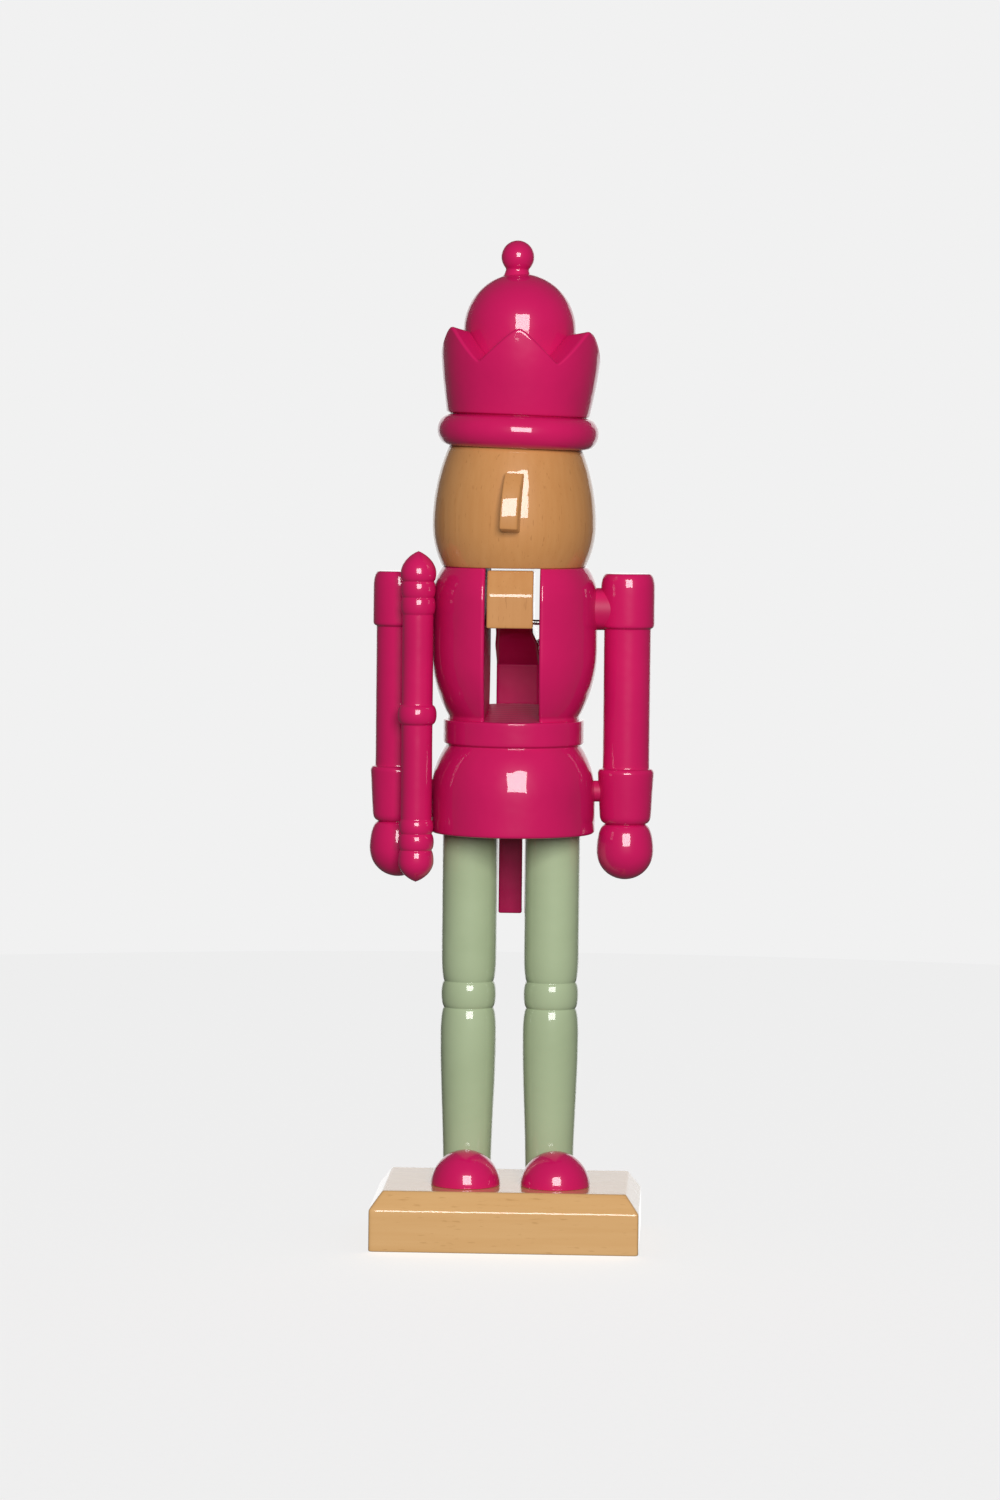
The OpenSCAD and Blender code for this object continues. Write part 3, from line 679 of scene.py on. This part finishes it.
# %% Arms
HAND_R, HAND_Z, WRIST_R, WRIST_Z = 10.9, 148.9, 7.4, 159.2
CUFF_LOW_R, CUFF_Z0, CUFF_R, CUFF_Z1 = 9.85, 162.5, 10.75, 180.2
ARM_R, CAP_R, CAP_Z0, CAP_Z1 = 8.95, 10.25, 233.6, 254.4
CAP_ROUND, CAP_CROWN = 2, 5.5                # rounding of the cap's top: sideways and in height
SHOULDER_Z, COLLAR_R, COLLAR_X, COLLAR_L = 240.8, 8.0, 24, ARM_X - 26
CUFF_PAD_Z, CUFF_PAD_R, CUFF_PAD_X, CUFF_PAD_H = 171.5, 4.0, 26, 10
ARM = to_axis(
    ellipse(0, HAND_Z, HAND_R, HAND_R, -89, 0),
    shrink(HAND_Z, HAND_R, WRIST_Z, WRIST_R),
    swell(WRIST_Z, WRIST_R, CUFF_Z0, CUFF_LOW_R),
    pts((CUFF_R, CUFF_Z1 - 1.3), (CUFF_R - 0.6, CUFF_Z1), (ARM_R, CUFF_Z1 + 0.1), (ARM_R, CAP_Z0)),
    swell(CAP_Z0, ARM_R, CAP_Z0 + 1.2, CAP_R),
    ellipse(CAP_R - CAP_ROUND, CAP_Z1 - CAP_CROWN, CAP_ROUND, CAP_CROWN, 0, 90))


def plug(name, radius, length, x, z, sign, node):
    """Short round piece that lies along X, from x outwards."""
    return turned(name, to_axis(pts((radius, 0), (radius, length))), along_x(sign * x, 0, z, sign),
                  "figure", "raspberry_paint", node)


def shoulder(side, sign):
    """An arm with the collar at its shoulder and the glue at its cuff."""
    arm = turned(f"{side}_arm.turned", ARM, at(sign * ARM_X), "figure", "raspberry_paint", f"{side}_arm")
    collar = plug(f"{side}_shoulder_peg.collar", COLLAR_R, COLLAR_L, COLLAR_X, SHOULDER_Z, sign,
                  f"{side}_shoulder_peg")
    pad = plug(f"{side}_cuff_pad.glue", CUFF_PAD_R, CUFF_PAD_H, CUFF_PAD_X, CUFF_PAD_Z, sign,
               f"{side}_cuff_pad")
    return arm, collar, pad


arms = [shoulder("left", 1), shoulder("right", -1)]

# %% [markdown]
# The staff is turned thin, with beads, a ring at its middle and a blunt point at each end.

# %% Staff
STAFF_X, STAFF_Y, STAFF_R, GROOVE = -35.5, -16.1, 5.9, 5.8
END_R, BEAD_R, RING_R = 6.8, 6.6, 7.45
LOW_END, LOW_WIDE, HIGH_WIDE, HIGH_END = 137.4, 145.3, 254.0, 262.5
LOW_BEADS, HIGH_BEADS = (149.5, 155.7, 161), (238.7, 245, 251.1)
RING_Z0, RING_Z1 = 197.1, 204.4


def point(z_tip, z_wide, r_wide):
    """Blunt point: r = r_wide sin a, while the height runs between a straight and a round end."""
    a = np.radians(np.linspace(0, 90, STEPS))
    t = a / (pi / 2)
    return np.stack([r_wide * np.sin(a), z_tip + (z_wide - z_tip) * (t + 1 - np.cos(a)) / 2], 1)


STAFF = np.concatenate([
    point(LOW_END, LOW_WIDE, END_R),
    shrink(LOW_WIDE, END_R, LOW_BEADS[0], GROOVE),
    bead(LOW_BEADS[0], LOW_BEADS[1], GROOVE, END_R),
    bead(LOW_BEADS[1], LOW_BEADS[2], GROOVE, BEAD_R),
    pts((STAFF_R, LOW_BEADS[2] + 1), (STAFF_R, RING_Z0 - 0.6)),
    bead(RING_Z0, RING_Z1, STAFF_R, RING_R),
    pts((STAFF_R, RING_Z1 + 0.6), (STAFF_R, HIGH_BEADS[0] - 1)),
    bead(HIGH_BEADS[0], HIGH_BEADS[1], GROOVE, BEAD_R),
    bead(HIGH_BEADS[1], HIGH_BEADS[2], GROOVE, BEAD_R),
    swell(HIGH_BEADS[2], GROOVE, HIGH_WIDE, END_R),
    point(HIGH_END, HIGH_WIDE, END_R)[::-1]])
staff = turned("staff.turned", STAFF, at(STAFF_X, STAFF_Y), "figure", "raspberry_paint", "staff",
               soft=0.3, columns=72)

# %% [markdown]
# Colours are written as the hex codes a paint chart would give and turned into the linear
# light that Blender works in. One function adds any shader node, with its settings and links.

# %% Helpers for materials
def linear(code):
    """sRGB hex code to linear red, green, blue and alpha."""
    s = np.array([int(code[k:k + 2], 16) for k in (1, 3, 5)]) / 255
    return (*np.where(s <= 0.04045, s / 12.92, ((s + 0.055) / 1.055) ** 2.4), 1.0)


def add(tree, kind, inputs=None, **settings):
    """A shader node with its settings; each input is given a value or fed from a socket."""
    node = tree.nodes.new(kind)
    for key, value in settings.items():
        setattr(node, key, value)
    for key, value in (inputs or {}).items():
        if isinstance(value, bpy.types.NodeSocket):
            tree.links.new(value, node.inputs[key])
        else:
            node.inputs[key].default_value = value
    return node


def new_material(name):
    """Empty material, its node tree, Principled shader and the point in the piece's own space."""
    material = bpy.data.materials.new(name)
    material.use_nodes = True
    tree = material.node_tree
    tree.nodes.clear()
    shader = add(tree, "ShaderNodeBsdfPrincipled")
    add(tree, "ShaderNodeOutputMaterial", {"Surface": shader.outputs[0]})
    return material, tree, shader, add(tree, "ShaderNodeTexCoord").outputs["Object"]


def per_mm(size):
    """Texture scale, in metres, of a pattern that repeats every size millimetres."""
    return 1 / (size * MM)


# %% [markdown]
# Enamel on wood: two or three thick coats of gloss paint, brushed or dipped. It is smooth and
# very shiny, with a slow ripple where it has levelled out and a faint print of the wood's
# fibres. A clear coat over a slightly rougher colour gives the hard highlights.

# %% Gloss enamel
def enamel(name, colour, deep, rough, ripple):
    """Colour varies slowly over the piece; the bump is ripple mm of levelling paint."""
    material, tree, shader, here = new_material(name)
    cloud = add(tree, "ShaderNodeTexNoise", {"Vector": here, "Scale": per_mm(30), "Detail": 3})
    shade = add(tree, "ShaderNodeMapRange", {"Value": cloud.outputs[0], "From Min": 0.35, "From Max": 0.75})
    mix = add(tree, "ShaderNodeMix", {"Factor": shade.outputs[0], "A": linear(colour), "B": linear(deep)},
              data_type="RGBA")
    tree.links.new(mix.outputs["Result"], shader.inputs["Base Color"])
    fibre = add(tree, "ShaderNodeMapping", {"Vector": here, "Scale": (1, 1, 0.06)})
    grain = add(tree, "ShaderNodeTexNoise", {"Vector": fibre.outputs[0], "Scale": per_mm(1.6), "Detail": 2})
    wave = add(tree, "ShaderNodeTexNoise", {"Vector": here, "Scale": per_mm(7), "Detail": 1})
    print_through = add(tree, "ShaderNodeMath", {0: grain.outputs[0], 1: 0.04}, operation="MULTIPLY")
    height = add(tree, "ShaderNodeMath", {0: wave.outputs[0], 1: print_through.outputs[0]}, operation="ADD")
    bump = add(tree, "ShaderNodeBump", {"Height": height.outputs[0], "Distance": ripple * MM,
                                        "Strength": 1.0})
    tree.links.new(bump.outputs[0], shader.inputs["Normal"])
    shader.inputs["Roughness"].default_value = rough
    shader.inputs["Specular IOR Level"].default_value = 0.1
    shader.inputs["Coat Weight"].default_value = 1.0
    shader.inputs["Coat Roughness"].default_value = 0.05
    tree.links.new(bump.outputs[0], shader.inputs["Coat Normal"])
    return material


raspberry = enamel("gloss enamel, raspberry", "#CC165D", "#C21358", 0.35, 0.16)
sage = enamel("gloss enamel, sage", "#ACBB96", "#A4B38E", 0.40, 0.12)

# %% [markdown]
# In the slot the brush hardly reached, so the saw cuts have one thin dull coat.

# %% Thin paint on a saw cut
def saw_cut_paint():
    """Dull raspberry with soft streaks from front to back, 5 mm apart: at scale 1 a wave texture
    repeats every 2 pi / 20 of a metre, and this scale divides that by 62.5."""
    material, tree, shader, here = new_material("thin enamel on a saw cut")
    marks = add(tree, "ShaderNodeTexWave", {"Vector": here, "Scale": per_mm(0.8) / 20, "Distortion": 1.5,
                                            "Detail": 2}, bands_direction="Y")
    tone = add(tree, "ShaderNodeMix", {"Factor": marks.outputs[1], "A": linear("#C8145A"),
                                       "B": linear("#B41250")}, data_type="RGBA")
    tree.links.new(tone.outputs["Result"], shader.inputs["Base Color"])
    bump = add(tree, "ShaderNodeBump", {"Height": marks.outputs[1], "Distance": 0.05 * MM})
    tree.links.new(bump.outputs[0], shader.inputs["Normal"])
    shader.inputs["Roughness"].default_value = 0.5
    shader.inputs["Specular IOR Level"].default_value = 0.3
    return material


thin_paint = saw_cut_paint()

# %% [markdown]
# The bare wood is a pale hardwood such as beech, under clear gloss varnish. It has broad soft
# rings and short dark flecks along the grain. The grain runs up the turned head and the jaw,
# and along the block, so a Mapping node turns the same pattern to suit each piece.

# %% Varnished beech
def beech(name, pale, warm, dark, turn):
    """Broad bands of tone round the tree's middle, about 70 mm apart, with streaks of noise drawn
    out 20 to 1 along the grain and dark flecks drawn out 7 to 1."""
    material, tree, shader, here = new_material(name)
    along_grain = add(tree, "ShaderNodeMapping", {"Vector": here, "Rotation": turn})
    ring_place = add(tree, "ShaderNodeMapping", {"Vector": along_grain.outputs[0], "Scale": (1, 1, 0.12),
                                                 "Location": (0.03, 0.012, 0)})
    rings = add(tree, "ShaderNodeTexWave", {"Vector": ring_place.outputs[0], "Scale": per_mm(22) / 10,
                                            "Distortion": 3.5, "Detail": 3, "Detail Scale": 1.2},
                wave_type="RINGS", rings_direction="Z", wave_profile="SAW")
    streak_place = add(tree, "ShaderNodeMapping", {"Vector": along_grain.outputs[0], "Scale": (1, 1, 0.05)})
    streaks = add(tree, "ShaderNodeTexNoise", {"Vector": streak_place.outputs[0], "Scale": per_mm(2.2),
                                               "Detail": 3})
    fleck_place = add(tree, "ShaderNodeMapping", {"Vector": along_grain.outputs[0], "Scale": (1, 1, 0.14)})
    flecks = add(tree, "ShaderNodeTexNoise", {"Vector": fleck_place.outputs[0], "Scale": per_mm(0.7),
                                              "Detail": 1})
    dark_fleck = add(tree, "ShaderNodeMapRange", {"Value": flecks.outputs[0], "From Min": 0.66,
                                                  "From Max": 0.76, "To Max": 0.35})
    tone = add(tree, "ShaderNodeMath", {0: rings.outputs[1], 1: 0.6}, operation="MULTIPLY")
    both = add(tree, "ShaderNodeMath", {0: streaks.outputs[0], 1: tone.outputs[0]}, operation="ADD")
    spread = add(tree, "ShaderNodeMapRange", {"Value": both.outputs[0], "From Min": 0.25, "From Max": 1.35})
    wood = add(tree, "ShaderNodeMix", {"Factor": spread.outputs[0], "A": linear(pale), "B": linear(warm)},
               data_type="RGBA")
    marked = add(tree, "ShaderNodeMix", {"Factor": dark_fleck.outputs[0], "A": wood.outputs["Result"],
                                         "B": linear(dark)}, data_type="RGBA")
    tree.links.new(marked.outputs["Result"], shader.inputs["Base Color"])
    bump = add(tree, "ShaderNodeBump", {"Height": streaks.outputs[0], "Distance": 0.03 * MM})
    tree.links.new(bump.outputs[0], shader.inputs["Normal"])
    ripple = add(tree, "ShaderNodeTexNoise", {"Vector": here, "Scale": per_mm(6), "Detail": 1})
    gloss = add(tree, "ShaderNodeBump", {"Height": ripple.outputs[0], "Distance": 0.10 * MM})
    tree.links.new(gloss.outputs[0], shader.inputs["Coat Normal"])
    shader.inputs["Roughness"].default_value = 0.42
    shader.inputs["Specular IOR Level"].default_value = 0.15
    shader.inputs["Coat Weight"].default_value = 1.0
    shader.inputs["Coat Roughness"].default_value = 0.03
    return material


UPRIGHT, ACROSS = (0, 0, 0), (0, radians(90), 0)
head_wood = beech("varnished beech, upright", "#CC935B", "#BF834B", "#8F5A2C", UPRIGHT)
block_wood = beech("varnished beech, along the block", "#DFB37C", "#D2A268", "#A87840", ACROSS)

# %% [markdown]
# The dowels inside are bare birch, sanded and dull. The pin is drawn steel wire, with fine
# lines along it from the die.

# %% Bare birch and drawn steel wire
def birch_dowel():
    """Two browns mixed by noise that is drawn out along the dowel."""
    material, tree, shader, here = new_material("bare birch dowel")
    stretched = add(tree, "ShaderNodeMapping", {"Vector": here, "Scale": (1, 1, 0.08)})
    fibres = add(tree, "ShaderNodeTexNoise", {"Vector": stretched.outputs[0], "Scale": per_mm(1.0),
                                              "Detail": 4})
    mix = add(tree, "ShaderNodeMix", {"Factor": fibres.outputs[0], "A": linear("#D9BD92"),
                                      "B": linear("#BC9A6A")}, data_type="RGBA")
    tree.links.new(mix.outputs["Result"], shader.inputs["Base Color"])
    shader.inputs["Roughness"].default_value = 0.7
    return material


def steel_wire():
    """Grey metal whose roughness varies in fine lines along the wire."""
    material, tree, shader, here = new_material("drawn steel wire")
    stretched = add(tree, "ShaderNodeMapping", {"Vector": here, "Scale": (0.02, 1, 1)})
    lines = add(tree, "ShaderNodeTexNoise", {"Vector": stretched.outputs[0], "Scale": per_mm(0.15),
                                             "Detail": 2})
    rough = add(tree, "ShaderNodeMapRange", {"Value": lines.outputs[0], "To Min": 0.22, "To Max": 0.42})
    tree.links.new(rough.outputs[0], shader.inputs["Roughness"])
    shader.inputs["Base Color"].default_value = linear("#B9B7B2")
    shader.inputs["Metallic"].default_value = 1.0
    return material


dowel_wood, wire = birch_dowel(), steel_wire()

# %% [markdown]
# Each new piece gets the finish of its material slot. The dowels and the thin peg are still
# the CAD model's own solids, all inside other pieces, and get bare birch.

# %% Give every piece its finish
FINISH = {"raspberry_paint": raspberry, "sage_paint": sage, "varnished_wood": head_wood,
          "dowel_wood": dowel_wood, "steel_pin": wire}
for piece in PIECES:
    piece.data.materials.append(FINISH[piece["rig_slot"]])
base.data.materials[0] = block_wood
coat.data.materials.append(thin_paint)
for _, collar, pad in arms:
    collar.data.materials[0] = pad.data.materials[0] = thin_paint
coat.data.polygons.foreach_set("material_index", in_slot.astype(np.int32))
for entry in frame["record"]["subparts"]:
    node = frame["nodes"][entry["node"]]
    for place in node.material_slots:
        place.material = FINISH[entry["material_slot"]]
print(len(PIECES), "new pieces painted")

# %% [markdown]
# The stage is a round sheet of pale paper, a metre in radius. It is left out of reflections and
# of bounced light, so that it shows under the figure without a pale band in the gloss paint.

# %% Floor
PAPER, ROOM = 0.88, 0.1                      # brightness of the paper's far edge and of the dim room


def make_floor(radius):
    """Disc on the ground: x = r cos a, y = r sin a, on rings of growing radius."""
    columns = 96
    a = np.arange(columns) * 2 * pi / columns
    r = np.linspace(0, 1, 12)[1:, None] * radius
    rings = np.stack([r * np.cos(a), r * np.sin(a), 0 * r + 0 * a], -1)[::-1]
    points = np.concatenate([rings.reshape(-1, 3), [(0, 0, 0)]])
    last = (len(rings) - 1) * columns
    c = np.arange(columns)
    middle = np.stack([last + c, last + (c + 1) % columns, np.full(columns, len(points) - 1)], 1)
    mesh = bpy.data.meshes.new("paper_floor")
    mesh.from_pydata(points.tolist(), [], grid_faces(len(rings), columns) + middle.tolist())
    sheet = bpy.data.objects.new("paper_floor", mesh)
    bpy.context.scene.collection.objects.link(sheet)
    material, tree, shader, here = new_material("pale paper")
    fibre = add(tree, "ShaderNodeTexNoise", {"Vector": here, "Scale": per_mm(3), "Detail": 3})
    tint = add(tree, "ShaderNodeMix", {"Factor": fibre.outputs[0], "A": linear("#F4F4F4"),
                                       "B": linear("#F2F2F2")}, data_type="RGBA")
    tree.links.new(tint.outputs["Result"], shader.inputs["Base Color"])
    shader.inputs["Roughness"].default_value = 0.9
    shader.inputs["Specular IOR Level"].default_value = 0.1
    mesh.materials.append(material)
    sheet.visible_glossy = sheet.visible_diffuse = False
    return sheet


floor = make_floor(1.0)

# %% [markdown]
# The camera stands 1.86 m in front, a little to the figure's left and just below the crown's
# height, and looks slightly down. A long lens keeps the uprights nearly parallel.

# %% Camera
CAM_FAR, CAM_HIGH, CAM_SIDE = 1860, 314.6, -4.7             # mm
CAM_TURN, CAM_DOWN, CAM_ROLL = (radians(a) for a in (2.35, 3.934, -0.6))
CAM_LENS = 117.6                                            # mm of focal length
right = Vector((cos(CAM_TURN), sin(CAM_TURN), 0))
ahead = Vector((-sin(CAM_TURN), cos(CAM_TURN), 0))
look = ahead * cos(CAM_DOWN) - Vector((0, 0, 1)) * sin(CAM_DOWN)
up = ahead * sin(CAM_DOWN) + Vector((0, 0, 1)) * cos(CAM_DOWN)
cam_x = right * cos(CAM_ROLL) - up * sin(CAM_ROLL)
cam_y = right * sin(CAM_ROLL) + up * cos(CAM_ROLL)
place = Vector((0, AXIS_Y, CAM_HIGH)) - ahead * CAM_FAR + right * CAM_SIDE
camera_data = bpy.data.cameras.new("camera")
camera_data.lens = CAM_LENS
camera = bpy.data.objects.new("camera", camera_data)
camera.matrix_world = Matrix.Translation(place * MM) @ Matrix((cam_x, cam_y, -look)).transposed().to_4x4()
bpy.context.scene.collection.objects.link(camera)
bpy.context.scene.camera = camera

# %% [markdown]
# One square softbox stands in front, a little to the right and above, and makes the small square
# highlights on the paint. Behind the figure a wide white screen is mirrored in the block's
# varnished top and along the edges of the paint. Both light only the figure. The room is dim, and
# the paper has a lamp of its own, straight above, so that it is nearly white while the paint
# keeps its depth.

# %% Lights
CHEST_Z = 230                                # mm, the height at which the lights are aimed
PAPER_LAMP = 2.75                            # strength of the paper's own lamp


def softbox(name, azimuth, height, distance, size, radiance):
    """Area light aimed at the chest; angles are seen from there. Its power is pi times its
    brightness times its area, which makes the brightness the same at any size."""
    target = Vector((0, AXIS_Y, CHEST_Z)) * MM
    a, h = radians(azimuth), radians(height)
    way = Vector((sin(a) * cos(h), -cos(a) * cos(h), sin(h)))
    light = bpy.data.lights.new(name, "AREA")
    light.shape = "RECTANGLE"
    light.size, light.size_y = size
    light.energy = pi * radiance * size[0] * size[1]
    lamp = bpy.data.objects.new(name, light)
    lamp.location = target + way * distance
    lamp.rotation_euler = way.to_track_quat("Z", "Y").to_euler()
    lamp.visible_camera = False
    bpy.context.scene.collection.objects.link(lamp)
    return lamp


key = softbox("key softbox", 7.5, 18, 2.6, (1.3, 1.3), 13.6)
screen = softbox("white screen", 180, 3, 2.4, (3.0, 1.6), 1.05)

only_floor = bpy.data.collections.new("lit by the paper's lamp")
only_floor.objects.link(floor)
figure = bpy.data.collections.new("lit by the softbox")
for piece in bpy.data.objects:
    if piece.type == "MESH" and piece != floor:
        figure.objects.link(piece)
key.light_linking.receiver_collection = screen.light_linking.receiver_collection = figure
sun = bpy.data.lights.new("paper lamp", "SUN")
sun.energy = PAPER_LAMP
sun_lamp = bpy.data.objects.new("paper lamp", sun)
sun_lamp.light_linking.receiver_collection = only_floor
sun_lamp.light_linking.blocker_collection = only_floor
bpy.context.scene.collection.objects.link(sun_lamp)

world = bpy.data.worlds.new("dim studio")
world.use_nodes = True
tree = world.node_tree
ray = add(tree, "ShaderNodeLightPath")
strength = add(tree, "ShaderNodeMapRange", {"Value": ray.outputs["Is Camera Ray"], "To Min": ROOM,
                                            "To Max": PAPER})
tree.links.new(strength.outputs[0], tree.nodes["Background"].inputs["Strength"])
tree.nodes["Background"].inputs["Color"].default_value = (1, 1, 1, 1)
bpy.context.scene.world = world
bpy.context.scene.view_settings.view_transform = "Standard"
